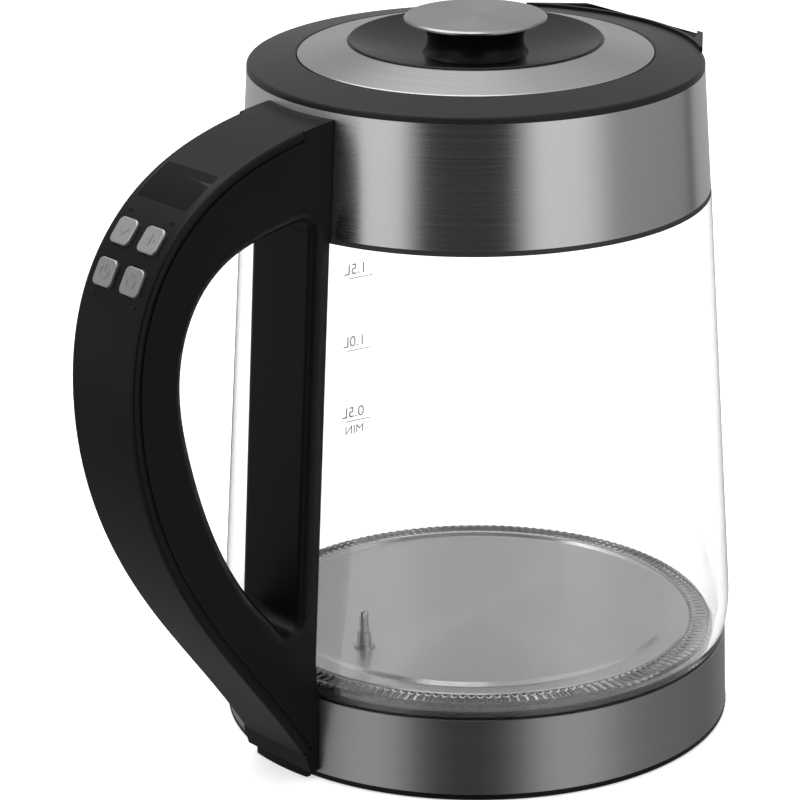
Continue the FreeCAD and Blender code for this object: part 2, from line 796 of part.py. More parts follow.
def make_handle_cover():
    """Outer moulding of the grip: a shallow channel with the window and the key wells."""
    half = handle_width / 2
    strip = between(grip_back, shifted(grip_back, -cover_depth), half)
    long_edges = [e for e in strip.Edges if e.Length > 200 and is_on_back(e)]
    strip = strip.makeFillet(cover_round, long_edges)
    strip = strip.cut(seam_cut()).cut(foot_cut())
    hollow = between(shifted(grip_back, -cover_wall), shifted(grip_back, -cover_depth - 2), half - cover_wall)
    hollow = hollow.cut(seam_cut(4.0)).cut(block((80, 60, 40), (-base_radius - 10, 0, foot_height - 14.0)))
    cover = strip.cut(hollow)
    groove = between(shifted(grip_back, -cover_round - 0.5), shifted(grip_back, -cover_round - 1.5), half + 1)
    inner = between(shifted(grip_back, -cover_round - 0.3), shifted(grip_back, -cover_round - 1.7), half - 0.5)
    cover = cover.cut(groove.cut(inner))
    window = rounded_block(display_width, display_length, -4, 4, 0.8)
    cover = cover.cut(placed(window, on_grip(seam_distance + display_place)))
    well = rounded_block(key_size + 2 * key_gap, key_size + 2 * key_gap, -4, 4, 1.9 + key_gap)
    for distance, side in key_places().values():
        cover = cover.cut(placed(well, on_grip(distance, side)))
    rails = []
    for side in (1, -1):
        rail = block((1.2, display_length, 5.6), (side * (display_width / 2 + 0.7), 0, -4.4))
        rails.append(placed(rail, on_grip(seam_distance + display_place)))
        for end in (1, -1):
            post = Part.makeCylinder(1.0, board_depth - 1.2, V(side * 9.6, end * 12.6, -board_depth))
            rails.append(placed(post, board_frame()))
    cover = cover.fuse(rails)
    return cover.cut(jug_envelope(handle_gap)).removeSplitter()


def is_on_back(edge):
    """Whether an edge lies along the outer curve of the grip."""
    parameter = (edge.FirstParameter + edge.LastParameter) / 2
    point = edge.valueAt(parameter)
    return grip_back_edge.distToShape(Part.Vertex(V(point.x, 0, point.z)))[0] < 0.05


def board_frame():
    return on_grip(seam_distance + key_place + key_pitch / 2)


def shell_cavity():
    """Hollow of the inner shell, open towards the cover and down to the cable window."""
    half = handle_width / 2 - shell_wall
    inner = shifted(spline([at_share(*p) for p in GRIP_INSIDE]), shell_wall)
    outer = shifted(grip_back, -cover_depth + 1.5)
    first = inner.value(inner.FirstParameter)
    last = inner.value(inner.LastParameter)
    top = V(first.x + 4.0, 0, first.z + 3.5)
    lift = outer.value(outer.FirstParameter)
    heel = V(-wall_radius(0) - 3.4, 0, foot_height + 22.0)
    toe = V(-wall_radius(0) + 3.0, 0, foot_height + 13.0)
    low = V(-wall_radius(0) + 3.0, 0, foot_height + 5.0)
    outer_low = outer.value(outer.LastParameter)
    rest = Part.makePolygon([last, heel, toe, low, outer_low])
    roof = Part.makePolygon([lift, V(top.x, 0, lift.z - 3.0), top, first])
    wire = Part.Wire(Part.__sortEdges__(list(rest.Edges) + [outer.toShape()] + list(roof.Edges)
                                        + [inner.toShape()]))
    face = Part.Face(wire)
    face.translate(V(0, -half, 0))
    return face.extrude(V(0, 2 * half, 0))


def make_handle_shell():
    """Inner moulding: bridge to the rim, inside of the grip, and the column on the glass."""
    body = envelope().cut(finger_opening())
    loops = [e for e in body.Edges if abs(abs(e.CenterOfMass.y) - handle_width / 2) < 1e-6
             and is_on_opening(e)]
    body = body.makeFillet(grip_round, loops)
    strip = between(shifted(grip_back, 6.0), shifted(grip_back, -cover_depth), handle_width)
    body = body.cut(strip.cut(seam_cut()).cut(foot_cut()))
    body = body.cut(jug_envelope(handle_gap))
    cavity = shell_cavity().cut(seam_cut(6.0))
    body = body.cut(cavity)
    return body.cut(handle_screw_holes())


def is_on_opening(edge):
    point = edge.valueAt((edge.FirstParameter + edge.LastParameter) / 2)
    flat = Part.Vertex(V(point.x, 0, point.z))
    wire = finger_opening().slice(V(0, 1, 0), 0)[0]
    return wire.distToShape(flat)[0] < 0.05


def make_foot_insert():
    """Narrow black tab between the handle's foot and the base ring."""
    tab = block((6.0, handle_width - 6.0, foot_height + 0.7), (-base_radius, 0, (foot_height + 0.7) / 2 + 0.3))
    keep = ring(base_band_bottom_radius + 0.25, base_band_bottom_radius + 1.9, 0, foot_height - 0.1)
    return tab.common(keep)


def make_display_lens():
    half = handle_width / 2
    skin = between(shifted(grip_back, -0.05), shifted(grip_back, -lens_thickness), half)
    window = rounded_block(display_width - 0.1, display_length - 0.1, -4, 4, 0.75)
    return skin.common(placed(window, on_grip(seam_distance + display_place)))


def make_display_module():
    module = block((display_width - 3.0, display_length - 1.6, 2.6), (0, 0, -3.6))
    carrier = block((display_width, display_length, board_thickness), (0, 0, -5.7))
    return placed(fused(module, carrier), on_grip(seam_distance + display_place))


def make_control_board():
    board = block((22.4, 27.8, board_thickness), (0, 0, -board_depth - board_thickness / 2))
    chip = block((9.0, 9.0, 1.4), (0, 0, -board_depth - board_thickness - 0.7))
    plug = block((8.0, 5.0, 3.2), (0, 10.5, -board_depth - board_thickness - 1.6))
    return placed(fused(board, chip, plug), board_frame())


def make_tact_switches():
    switches = []
    top = -(key_body + key_travel + 0.3) - 0.5
    for side in (1, -1):
        for row in (1, -1):
            body = block((5.2, 5.2, board_depth + top - 0.4),
                         (side * key_spread / 2, row * key_pitch / 2, (-board_depth + top - 0.4) / 2))
            plunger = Part.makeCylinder(1.5, 1.0, V(side * key_spread / 2, row * key_pitch / 2, top - 0.9))
            switches.append(placed(fused(body, plunger), board_frame()))
    return Part.makeCompound(switches)


def make_key(name):
    """Silver key cap with a flange that keeps it behind the cover."""
    distance, side = key_places()[name]
    cap = rounded_block(key_size, key_size, -key_body, key_proud, 1.9)
    cap = cap.makeFillet(0.45, [e for e in cap.Edges if e.BoundBox.ZMin > key_proud - 0.01])
    flange_size = key_size + 2 * flange_margin
    flange = rounded_block(flange_size, flange_size, -key_body, -key_body + flange_thickness, 1.0)
    return placed(fused(cap, flange), on_grip(distance, side))


def handle_screw_places():
    """Start of each fixing screw: two into the collar and two into the base carrier."""
    high = handle_top - 22.0
    low = gasket_floor - 1.6
    return [(-top_band_radius(high), 6.0, high), (-top_band_radius(high), -6.0, high),
            (-base_band_radius(low), 8.6, low), (-base_band_radius(low), -8.6, low)]


def along_x(radius, start, end, place):
    """Bar that lies along X at a place's sideways position and height."""
    return Part.makeCylinder(radius, end - start, V(start, place[1], place[2]), V(1, 0, 0))


def make_handle_screws():
    screws = []
    for place in handle_screw_places():
        seat = place[0] - 1.6
        shaft = along_x(screw_radius, seat, place[0] + 3.6, place)
        screws.append(fused(shaft, along_x(screw_head_radius, seat - 1.2, seat, place)))
    return Part.makeCompound(screws)


def handle_screw_holes():
    """Clearance for the screws, with a bore behind each head for the driver."""
    holes = []
    for place in handle_screw_places():
        seat = place[0] - 1.6
        holes.append(along_x(screw_radius + 0.05, seat, place[0] + 3.8, place))
        holes.append(along_x(screw_head_radius + 0.2, seat - 19.0, seat, place))
    return holes


def make_signal_cable():
    """Control cable down the hollow grip and in through the foot."""
    start = board_frame().multVec(V(0, 13.05, -board_depth - board_thickness - 1.6))
    window_height = gasket_floor - 7.6
    points = [(start.x, 0, start.z)]
    for distance, share in ((58.6, 0.63), (54.6, 0.53), (45.0, 0.42), (30.0, 0.29), (14.0, 0.175)):
        place = at_share(distance, share)
        points.append((place.x, 0, place.z))
    points.append((-wall_radius(0) - 5.4, 0, window_height + 9.0))
    points.append((-wall_radius(0) - 1.9, 0, window_height + 0.2))
    points.append((-base_radius + 8.0, 0, window_height - 0.2))
    points.append((-base_radius + 20.0, 0, window_height - 1.0))
    return wire_tube(points, cable_radius)


def build():
    """All of the kettle's pieces, by name."""
    parts = {
        "base_cover": make_base_cover(),
        "base_band": make_base_band(),
        "base_chassis": make_base_chassis(),
        "base_screws": make_base_screws(),
        "glass_gasket": make_glass_gasket(),
        "glass_body": make_glass_body(),
        "light_ring": make_light_ring(),
        "plate_seal": make_plate_seal(),
        "heater_plate": make_heater_plate(),
        "heat_spreader": make_heat_spreader(),
        "heating_element": make_heating_element(),
        "element_terminals": make_element_terminals(),
        "temperature_probe": make_temperature_probe(),
        "coupler_socket": make_coupler_socket(),
        "coupler_contacts": make_coupler_contacts(),
        "dry_boil_cutout": make_dry_boil_cutout(),
        "base_wires": make_base_wires(),
        "led_board": make_led_board(),
        "leds": make_leds(),
        "neck_seal": make_neck_seal(),
        "top_band": make_top_band(),
        "collar": make_collar(),
        "collar_seal": make_collar_seal(),
        "top_rim": make_top_rim(),
        "spout_filter": make_spout_filter(),
        "lid_body": make_lid_body(),
        "lid_trim_ring": make_lid_trim_ring(),
        "lid_dish": make_lid_dish(),
        "lid_seal": make_lid_seal(),
        "lid_bottom_plate": make_lid_bottom_plate(),
        "lid_screws": make_lid_screws(),
        "knob_stem": make_knob_stem(),
        "knob_cap": make_knob_cap(),
        "handle_shell": make_handle_shell(),
        "handle_cover": make_handle_cover(),
        "handle_screws": make_handle_screws(),
        "foot_insert": make_foot_insert(),
        "display_lens": make_display_lens(),
        "display_module": make_display_module(),
        "control_board": make_control_board(),
        "tact_switches": make_tact_switches(),
        "signal_cable": make_signal_cable(),
    }
    for name in key_places():
        parts["key_" + name] = make_key(name)
    return parts


os.makedirs("parts", exist_ok=True)
for name, shape in build().items():
    solids = shape.Solids
    print(name, len(solids), shape.isValid(), round(shape.Volume, 1))
    (solids[0] if len(solids) == 1 else shape).exportStep(os.path.join("parts", name + ".step"))
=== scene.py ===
import json
import math

import bpy
import numpy as np
from mathutils import Matrix, Vector


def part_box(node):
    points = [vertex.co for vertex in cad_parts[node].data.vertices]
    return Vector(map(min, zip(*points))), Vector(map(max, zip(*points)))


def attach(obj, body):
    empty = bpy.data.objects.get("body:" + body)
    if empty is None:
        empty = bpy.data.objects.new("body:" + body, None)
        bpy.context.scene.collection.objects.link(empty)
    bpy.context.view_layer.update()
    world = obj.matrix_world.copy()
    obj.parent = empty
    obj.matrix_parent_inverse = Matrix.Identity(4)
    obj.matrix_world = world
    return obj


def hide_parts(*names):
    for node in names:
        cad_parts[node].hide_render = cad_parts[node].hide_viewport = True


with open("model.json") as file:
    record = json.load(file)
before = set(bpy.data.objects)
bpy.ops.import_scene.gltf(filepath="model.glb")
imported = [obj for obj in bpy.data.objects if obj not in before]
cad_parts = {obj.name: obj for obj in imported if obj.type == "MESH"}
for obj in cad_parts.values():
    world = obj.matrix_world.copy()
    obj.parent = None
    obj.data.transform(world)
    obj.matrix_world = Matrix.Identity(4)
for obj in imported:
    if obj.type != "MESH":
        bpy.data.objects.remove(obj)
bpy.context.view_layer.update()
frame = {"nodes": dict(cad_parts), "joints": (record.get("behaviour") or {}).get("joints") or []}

nodes = frame["nodes"]
scene = bpy.context.scene

# ------------------------------------------------------------------ studio
# A white sweep and soft light: two tall softboxes stand left and right of the camera, with
# an unlit gap between them. Steel and plastic reflect a half-lit room behind the kettle,
# while the camera itself sees plain white.
CAMERA_AZIMUTH = math.radians(41.5)
CAMERA_DISTANCE = 1.1409
CAMERA_HEIGHT = 0.4973
CAMERA_TURN = -0.0207
CAMERA_TILT = 0.3352
CAMERA_ROLL = -0.00901
CAMERA_LENS = 175.65


def place_camera():
    """Camera on a circle round the jug's axis, turned a little off it, tilted down and rolled."""
    heading = CAMERA_AZIMUTH + CAMERA_TURN
    flat = Vector((math.sin(heading), math.cos(heading), 0.0))
    forward = flat * math.cos(CAMERA_TILT) - Vector((0, 0, math.sin(CAMERA_TILT)))
    right = Vector((math.cos(heading), -math.sin(heading), 0.0))
    up = right.cross(forward)
    across = right * math.cos(CAMERA_ROLL) + up * math.sin(CAMERA_ROLL)
    above = up * math.cos(CAMERA_ROLL) - right * math.sin(CAMERA_ROLL)
    camera = bpy.data.objects.new("camera", bpy.data.cameras.new("camera"))
    scene.collection.objects.link(camera)
    turn = Matrix((across, above, -forward)).transposed().to_4x4()
    place = Vector((-math.sin(CAMERA_AZIMUTH) * CAMERA_DISTANCE,
                    -math.cos(CAMERA_AZIMUTH) * CAMERA_DISTANCE, CAMERA_HEIGHT))
    camera.matrix_world = Matrix.Translation(place) @ turn
    camera.data.lens = CAMERA_LENS
    camera.data.sensor_width = 36.0
    camera.data.clip_start = 0.01
    scene.camera = camera


def wire(tree, kind, **inputs):
    """New node with its settings and input values; a value that is a socket is linked."""
    node = tree.nodes.new(kind)
    for key, value in inputs.items():
        if hasattr(node, key) and not key[0].isupper():
            setattr(node, key, value)
            continue
        name = key.replace("_", " ")
        socket = node.inputs[int(name[1:])] if name[0] == "I" and name[1:].isdigit() else node.inputs[name]
        if isinstance(value, bpy.types.NodeSocket):
            tree.links.new(value, socket)
        else:
            socket.default_value = value
    return node


def ramp(tree, factor, stops, mode="LINEAR"):
    """Colour ramp from (place, grey or colour) stops."""
    node = wire(tree, "ShaderNodeValToRGB", Fac=factor)
    node.color_ramp.interpolation = mode
    elements = node.color_ramp.elements
    while len(elements) < len(stops):
        elements.new(0.5)
    for element, (place, value) in zip(elements, stops):
        element.position = place
        element.color = (*value, 1.0) if isinstance(value, tuple) else (value, value, value, 1.0)
    return node.outputs["Color"]


def light_world():
    """Sky brightness by angle round the jug, counted from the camera's side, white overhead."""
    world = bpy.data.worlds.new("studio")
    scene.world = world
    world.use_nodes = True
    tree = world.node_tree
    tree.nodes.clear()
    direction = wire(tree, "ShaderNodeTexCoord").outputs["Generated"]
    parts = wire(tree, "ShaderNodeSeparateXYZ", Vector=direction)
    angle = wire(tree, "ShaderNodeMath", operation="ARCTAN2", I0=parts.outputs["Y"], I1=parts.outputs["X"])
    behind = math.pi / 2 + CAMERA_AZIMUTH + math.pi
    turned = wire(tree, "ShaderNodeMath", operation="ADD", I0=angle.outputs[0], I1=behind)
    wrapped = wire(tree, "ShaderNodeMath", operation="WRAP", I0=turned.outputs[0], I1=2 * math.pi, I2=0.0)
    share = wire(tree, "ShaderNodeMath", operation="DIVIDE", I0=wrapped.outputs[0], I1=2 * math.pi)
    around = ramp(tree, share.outputs[0], [
        (0.0, 0.50), (0.20, 0.48), (0.28, 0.35), (0.33, 0.9), (0.345, 1.0), (0.395, 0.95),
        (0.43, 0.03), (0.545, 0.03), (0.585, 1.0), (0.65, 0.95), (0.70, 0.42), (0.82, 0.36),
        (0.845, 0.34), (0.86, 0.06), (0.88, 0.50), (1.0, 0.50)])
    above = ramp(tree, parts.outputs["Z"], [(0.45, 0.0), (0.8, 1.0)])
    sky = wire(tree, "ShaderNodeMixRGB", Fac=above, Color1=around, Color2=(0.9, 0.9, 0.9, 1))
    below = wire(tree, "ShaderNodeMapRange", Value=parts.outputs["Z"], I1=-0.33, I2=-0.20, I3=0.42, I4=1.0)
    sky = wire(tree, "ShaderNodeVectorMath", operation="SCALE", I0=sky.outputs[0], Scale=below.outputs[0])
    seen = wire(tree, "ShaderNodeLightPath").outputs["Is Camera Ray"]
    colour = wire(tree, "ShaderNodeMixRGB", Fac=seen, Color1=sky.outputs[0], Color2=(1, 1, 1, 1))
    shine = wire(tree, "ShaderNodeBackground", Color=colour.outputs[0], Strength=1.15)
    wire(tree, "ShaderNodeOutputWorld", Surface=shine.outputs[0])


def add_softbox(name, place, size, power):
    lamp = bpy.data.lights.new(name, "AREA")
    lamp.shape = "RECTANGLE"
    lamp.size, lamp.size_y = size
    lamp.energy = power
    lamp_object = bpy.data.objects.new(name, lamp)
    scene.collection.objects.link(lamp_object)
    lamp_object.location = place
    lamp_object.rotation_euler = (Vector((0, 0, 0.1)) - Vector(place)).to_track_quat("-Z", "Y").to_euler()


def lay_floor():
    data = bpy.data.meshes.new("floor")
    half = 4.0
    data.from_pydata([(-half, -half, 0), (half, -half, 0), (half, half, 0), (-half, half, 0)], [],
                     [(0, 1, 2, 3)])
    floor = bpy.data.objects.new("floor", data)
    scene.collection.objects.link(floor)
    paint = bpy.data.materials.new("floor_white")
    paint.use_nodes = True
    shader = paint.node_tree.nodes["Principled BSDF"]
    shader.inputs["Base Color"].default_value = (0.93, 0.93, 0.93, 1)
    shader.inputs["Roughness"].default_value = 0.9
    shader.inputs["Emission Color"].default_value = (1, 1, 1, 1)
    shader.inputs["Emission Strength"].default_value = 0.55
    data.materials.append(paint)
    floor.visible_glossy = False


place_camera()
light_world()
add_softbox("softbox_top", (-0.2, 0.3, 1.3), (1.2, 1.2), 9.0)
lay_floor()
scene.view_settings.view_transform = "Standard"


# ------------------------------------------------------------------ black mouldings
# The handle, its cover, the top rim, the lid's dish and the base cover are moulded in black
# polypropylene and acrylonitrile with a satin tool finish that has a very fine spark grain.
def new_material(name, **sockets):
    """Principled material whose plain values sit on the shader's own sockets."""
    material = bpy.data.materials.new(name)
    material.use_nodes = True
    shader = material.node_tree.nodes["Principled BSDF"]
    for key, value in sockets.items():
        shader.inputs[key.replace("_", " ")].default_value = value
    return material, material.node_tree, shader


def object_grain(tree, scale, detail=3.0):
    """Noise on the object's own coordinates, stretched by a scale for each axis."""
    place = wire(tree, "ShaderNodeTexCoord").outputs["Object"]
    stretched = wire(tree, "ShaderNodeMapping", Vector=place, Scale=scale)
    noise = wire(tree, "ShaderNodeTexNoise", Vector=stretched.outputs[0], Scale=1.0, Detail=detail)
    return noise.outputs["Fac"]


def vary(tree, shader, grain, dark, light, smooth, rough, height, distance=0.0001):
    """Grain that moves colour and roughness between two values and lifts the surface a little."""
    colour = ramp(tree, grain, [(0.3, dark), (0.7, light)])
    tree.links.new(colour, shader.inputs["Base Color"])
    spread = wire(tree, "ShaderNodeMapRange", Value=grain, I1=0.3, I2=0.7, I3=smooth, I4=rough)
    tree.links.new(spread.outputs[0], shader.inputs["Roughness"])
    bump = wire(tree, "ShaderNodeBump", Strength=height, Distance=distance, Height=grain)
    tree.links.new(bump.outputs[0], shader.inputs["Normal"])


def moulded(name, dark, light, smooth, rough, height=0.12, grain_size=2600.0, **sockets):
    """Moulded plastic: two layers of grain, one fine for the tool finish, one wide for handling."""
    material, tree, shader = new_material(name, **sockets)
    fine = object_grain(tree, (grain_size,) * 3, 2.0)
    wide = object_grain(tree, (38.0,) * 3, 4.0)
    both = wire(tree, "ShaderNodeMath", operation="MULTIPLY_ADD", I0=fine, I1=0.6, I2=0.0)
    mixed = wire(tree, "ShaderNodeMath", operation="MULTIPLY_ADD", I0=wide, I1=0.4, I2=both.outputs[0])
    vary(tree, shader, mixed.outputs[0], dark, light, smooth, rough, height)
    return material


def cover(material, *names):
    """Give a material to CAD nodes."""
    for name in names:
        for slot in nodes[name].material_slots:
            slot.material = material


satin_black = moulded("satin_black", (0.003,) * 3, (0.005,) * 3, 0.30, 0.38, Specular_IOR_Level=0.14)
rim_black = moulded("rim_black", (0.010,) * 3, (0.014,) * 3, 0.34, 0.42, Specular_IOR_Level=0.16)
dish_black = moulded("dish_black", (0.006,) * 3, (0.009,) * 3, 0.24, 0.32, 0.06, Specular_IOR_Level=0.12)
inner_black = moulded("inner_black", (0.02,) * 3, (0.03,) * 3, 0.5, 0.6)
cover(satin_black, "handle_shell", "handle_cover", "foot_insert", "base_cover")
cover(rim_black, "top_rim")
cover(dish_black, "lid_dish", "knob_stem")
cover(inner_black, "lid_body", "collar", "base_chassis", "coupler_socket", "spout_filter",
      "dry_boil_cutout", "tact_switches")


# ------------------------------------------------------------------ steel bands
# Two sleeves of 0.6 mm stainless sheet, brushed round the jug. The brushing spreads
# reflections up and down, so that they stand as upright light and dark columns.
def brushed_round(name, dark, light, smooth, rough, anisotropy=0.8, streak=900.0, height=0.05):
    """Brushed metal with streaks that run round the jug: noise squeezed along Z."""
    material, tree, shader = new_material(name, Metallic=1.0, Anisotropic=anisotropy,
                                          Anisotropic_Rotation=0.25)
    tangent = wire(tree, "ShaderNodeTangent", direction_type="RADIAL", axis="Z")
    tree.links.new(tangent.outputs[0], shader.inputs["Tangent"])
    grain = object_grain(tree, (9.0, 9.0, streak * 4), 5.0)
    vary(tree, shader, grain, dark, light, smooth, rough, height, 0.00003)
    return material


def brushed_disc(name, dark, light, smooth, rough, anisotropy=0.85, streak=2200.0, height=0.05):
    """Turned metal: noise on the distance from the axis, so that the lines are circles."""
    material, tree, shader = new_material(name, Metallic=1.0, Anisotropic=anisotropy,
                                          Anisotropic_Rotation=0.25)
    tangent = wire(tree, "ShaderNodeTangent", direction_type="RADIAL", axis="Z")
    tree.links.new(tangent.outputs[0], shader.inputs["Tangent"])
    place = wire(tree, "ShaderNodeTexCoord").outputs["Object"]
    flat = wire(tree, "ShaderNodeVectorMath", operation="MULTIPLY", I0=place, I1=(1.0, 1.0, 0.0))
    radius = wire(tree, "ShaderNodeVectorMath", operation="LENGTH", I0=flat.outputs[0])
    rings = wire(tree, "ShaderNodeMath", operation="MULTIPLY", I0=radius.outputs["Value"], I1=streak)
    wide = wire(tree, "ShaderNodeVectorMath", operation="MULTIPLY", I0=place, I1=(14.0, 14.0, 0.0))
    along = wire(tree, "ShaderNodeVectorMath", operation="ADD", I0=wide.outputs[0], I1=rings.outputs[0])
    grain = wire(tree, "ShaderNodeTexNoise", noise_dimensions="3D", Vector=along.outputs[0],
                 Scale=1.0, Detail=4.0).outputs["Fac"]
    vary(tree, shader, grain, dark, light, smooth, rough, height, 0.00003)
    return material


STREAK = 1700.0
band_steel = brushed_round("band_steel", (0.53, 0.53, 0.525), (0.59, 0.59, 0.585), 0.24, 0.30,
                           streak=STREAK, height=0.015)
cover(band_steel, "top_band")
# The base sleeve is the same stainless as the top band. Its darker colour is painted shade, standing in
# for the dimmer reflections low on the jug.
base_steel_painted_shade = brushed_round("base_steel_painted_shade", (0.37, 0.37, 0.365), (0.41, 0.41, 0.405), 0.36, 0.42,
                           anisotropy=0.6, streak=STREAK, height=0.012)
cover(base_steel_painted_shade, "base_band")


# ------------------------------------------------------------------ glass body
# Blown borosilicate cylinder, 3 mm thick, with a rounded shoulder above the base and a
# ground neck inside the upper band. It is bonded into both bands with silicone.
def lathe(name, profile, body, material, segments=256, lift=None):
    """Surface of revolution: a closed profile of (radius, height) carried round the Z axis.

    Vertex (i, j) stands at angle 2 pi j / segments and at profile point i; lift(r, z, angle)
    may change a height. Each quad joins neighbouring points of neighbouring profiles.
    """
    outline = np.array(profile, float)
    count = len(outline)
    angle = np.linspace(0, 2 * np.pi, segments, endpoint=False)
    radius = np.repeat(outline[:, 0][:, None], segments, 1)
    height = np.repeat(outline[:, 1][:, None], segments, 1)
    turn = np.repeat(angle[None, :], count, 0)
    if lift is not None:
        height = height + lift(radius, height, turn)
    points = np.stack([radius * np.cos(turn), radius * np.sin(turn), height], -1).reshape(-1, 3)
    i, j = np.meshgrid(np.arange(count), np.arange(segments), indexing="ij")
    i2, j2 = (i + 1) % count, (j + 1) % segments
    quads = np.stack([i * segments + j, i * segments + j2, i2 * segments + j2, i2 * segments + j], -1)
    return mesh_piece(name, points, quads.reshape(-1, 4), body, material)


def mesh_piece(name, points, faces, body, material, smooth=True):
    """New object from point and face arrays, riding on a CAD body."""
    data = bpy.data.meshes.new(name)
    data.from_pydata(np.asarray(points).tolist(), [], np.asarray(faces).tolist())
    data.validate()
    if smooth:
        data.shade_smooth()
        data.set_sharp_from_angle(angle=math.radians(32))
    piece = bpy.data.objects.new(name, data)
    scene.collection.objects.link(piece)
    data.materials.append(material)
    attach(piece, body)
    return piece


def arc(start, middle, end, steps=10):
    """Points on the circle through three points, from the first to the last."""
    a, b, c = (complex(*p) for p in (start, middle, end))
    w = (c - a) / (b - a)
    centre = a - (a - b) * (w - abs(w) ** 2) / (2j * w.imag)
    first = np.angle(a - centre)
    sweep = np.angle((c - centre) / (a - centre))
    via = np.angle((b - centre) / (a - centre))
    if sweep * via < 0 or abs(via) > abs(sweep):
        sweep -= math.copysign(2 * math.pi, sweep)
    turns = first + np.linspace(0, sweep, steps)
    ring = centre + abs(a - centre) * np.exp(1j * turns)
    return [(float(p.real), float(p.imag)) for p in ring]


def clear_glass(name, tint, ior, smooth, rough):
    """Clear glass that lets lamps shine through it, with faint draw lines in its surface."""
    material, tree, shader = new_material(name, IOR=ior, Transmission_Weight=1.0)
    grain = object_grain(tree, (30.0, 30.0, 6.0), 2.0)
    vary(tree, shader, grain, tint, tuple(min(1.0, c + 0.01) for c in tint), smooth, rough, 0.02)
    return material


jug_glass = clear_glass("jug_glass", (0.915, 0.918, 0.918), 1.45, 0.0, 0.004)
glass_low, glass_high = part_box("glass_body")
WALL = 0.003
FOOT_RADIUS = 0.07731
FOOT_TOP = 0.0259
BELLY = (glass_high.x, 0.040)
TOP = (0.0714, 0.1679)
NECK = (0.0703, 0.1679)
NECK_TAPER = 0.0004
GROUND_EDGE = 0.0005
waist = (FOOT_RADIUS + 0.00115, 0.0312)
outside = [(FOOT_RADIUS, glass_low.z + GROUND_EDGE), (FOOT_RADIUS, FOOT_TOP)]
outside += arc(outside[-1], waist, BELLY)[1:]
outside += [TOP, NECK, (NECK[0] - NECK_TAPER, glass_high.z)]
inside = [(TOP[0] - WALL - GROUND_EDGE, glass_high.z), (TOP[0] - WALL, TOP[1]),
          (BELLY[0] - WALL, BELLY[1])]
inside += arc(inside[-1], (waist[0] - WALL, waist[1]), (FOOT_RADIUS - WALL, FOOT_TOP))[1:]
inside += [(FOOT_RADIUS - WALL, glass_low.z + GROUND_EDGE),
           (FOOT_RADIUS - WALL / 2, glass_low.z)]
glass = lathe("glass_jug", outside + inside, "jug", jug_glass)
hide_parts("glass_body")


# ------------------------------------------------------------------ level marks
# Volumes fired on to the outside of the glass in grey enamel, over a short line each.
ink, ink_tree, ink_shader = new_material("mark_enamel", Metallic=0.0)
vary(ink_tree, ink_shader, object_grain(ink_tree, (4000.0,) * 3), (0.20,) * 3, (0.28,) * 3, 0.5, 0.6, 0.05)
MARK_ANGLE = math.radians(81.0)
MARKS = (("1.5L", 0.1206), ("1.0L", 0.0956), ("0.5L", 0.0708))
PRINT_LIFT = 0.00004
LETTER_SIZE = 0.0052
SMALL_SIZE = 0.0042
LETTER_START = -0.004
LETTER_RISE = 0.0012
SMALL_DROP = 0.0046
LINE_ENDS = (-0.0062, 0.0032)
LINE_POINTS = 13
LINE_WIDTH = 0.0003


def glass_radius(height):
    share = (height - BELLY[1]) / (TOP[1] - BELLY[1])
    return BELLY[0] + share * (TOP[0] - BELLY[0])


def wrap_on_glass(flat):
    """Bend flat (along, up) coordinates round the glass: the angle is the length over the radius."""
    radius = glass_radius(flat[:, 1]) + PRINT_LIFT
    angle = MARK_ANGLE + flat[:, 0] / radius
    return np.stack([radius * np.cos(angle), radius * np.sin(angle), flat[:, 1]], -1)


def text_triangles(text, size):
    """Flat outline mesh of a line of plain text, as points and faces."""
    curve = bpy.data.curves.new("mark_text", "FONT")
    curve.body = text
    curve.size = size
    holder = bpy.data.objects.new("mark_text", curve)
    scene.collection.objects.link(holder)
    bpy.context.view_layer.update()
    data = bpy.data.meshes.new_from_object(holder.evaluated_get(bpy.context.evaluated_depsgraph_get()))
    flat = np.empty(len(data.vertices) * 3)
    data.vertices.foreach_get("co", flat)
    faces = [list(p.vertices) for p in data.polygons]
    bpy.data.objects.remove(holder)
    bpy.data.meshes.remove(data)
    return flat.reshape(-1, 3)[:, :2], faces


def printed(name, flat, faces):
    mark = mesh_piece(name, wrap_on_glass(np.asarray(flat)), faces, "jug", ink, smooth=False)


for label, height in MARKS:
    letters, faces = text_triangles(label, LETTER_SIZE)
    printed("mark_" + label.replace(".", "_"), letters + (LETTER_START, height + LETTER_RISE), faces)
    steps = np.linspace(*LINE_ENDS, LINE_POINTS)
    line = np.concatenate([np.stack([steps, np.full(LINE_POINTS, height - drop)], -1)
                           for drop in (0.0, LINE_WIDTH)])
    printed("line_" + label.replace(".", "_"), line,
            [(k, k + 1, k + LINE_POINTS + 1, k + LINE_POINTS) for k in range(LINE_POINTS - 1)])
letters, faces = text_triangles("MIN", SMALL_SIZE)
printed("mark_min", letters + (LETTER_START, MARKS[2][1] - SMALL_DROP), faces)


# ------------------------------------------------------------------ light ring
# Clear acrylic ring pressed between the plate and the glass. Fine radial ribs on top of it
# scatter the light of the lamps below.
ring_low, ring_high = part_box("light_ring")
ring_inner = 0.0677
ring_outer = ring_high.x
RIBS = 168
RIB_DEPTH = 0.0005
RIB_FACE = 0.0012
RING_CHAMFER = 0.001


def ribs(radius, height, angle):
    """Ribs: a rounded wave of the angle, only on the top face and fading at its rims."""
    across = (radius - ring_inner) / (ring_outer - ring_inner)
    fade = np.clip(np.sin(np.pi * np.clip(across, 0.02, 0.98)) * 2.0, 0, 1)
    wave = 0.5 + 0.5 * np.cos(RIBS * angle)
    return np.where(height > ring_high.z - RIB_FACE, -RIB_DEPTH * wave * fade, 0.0)


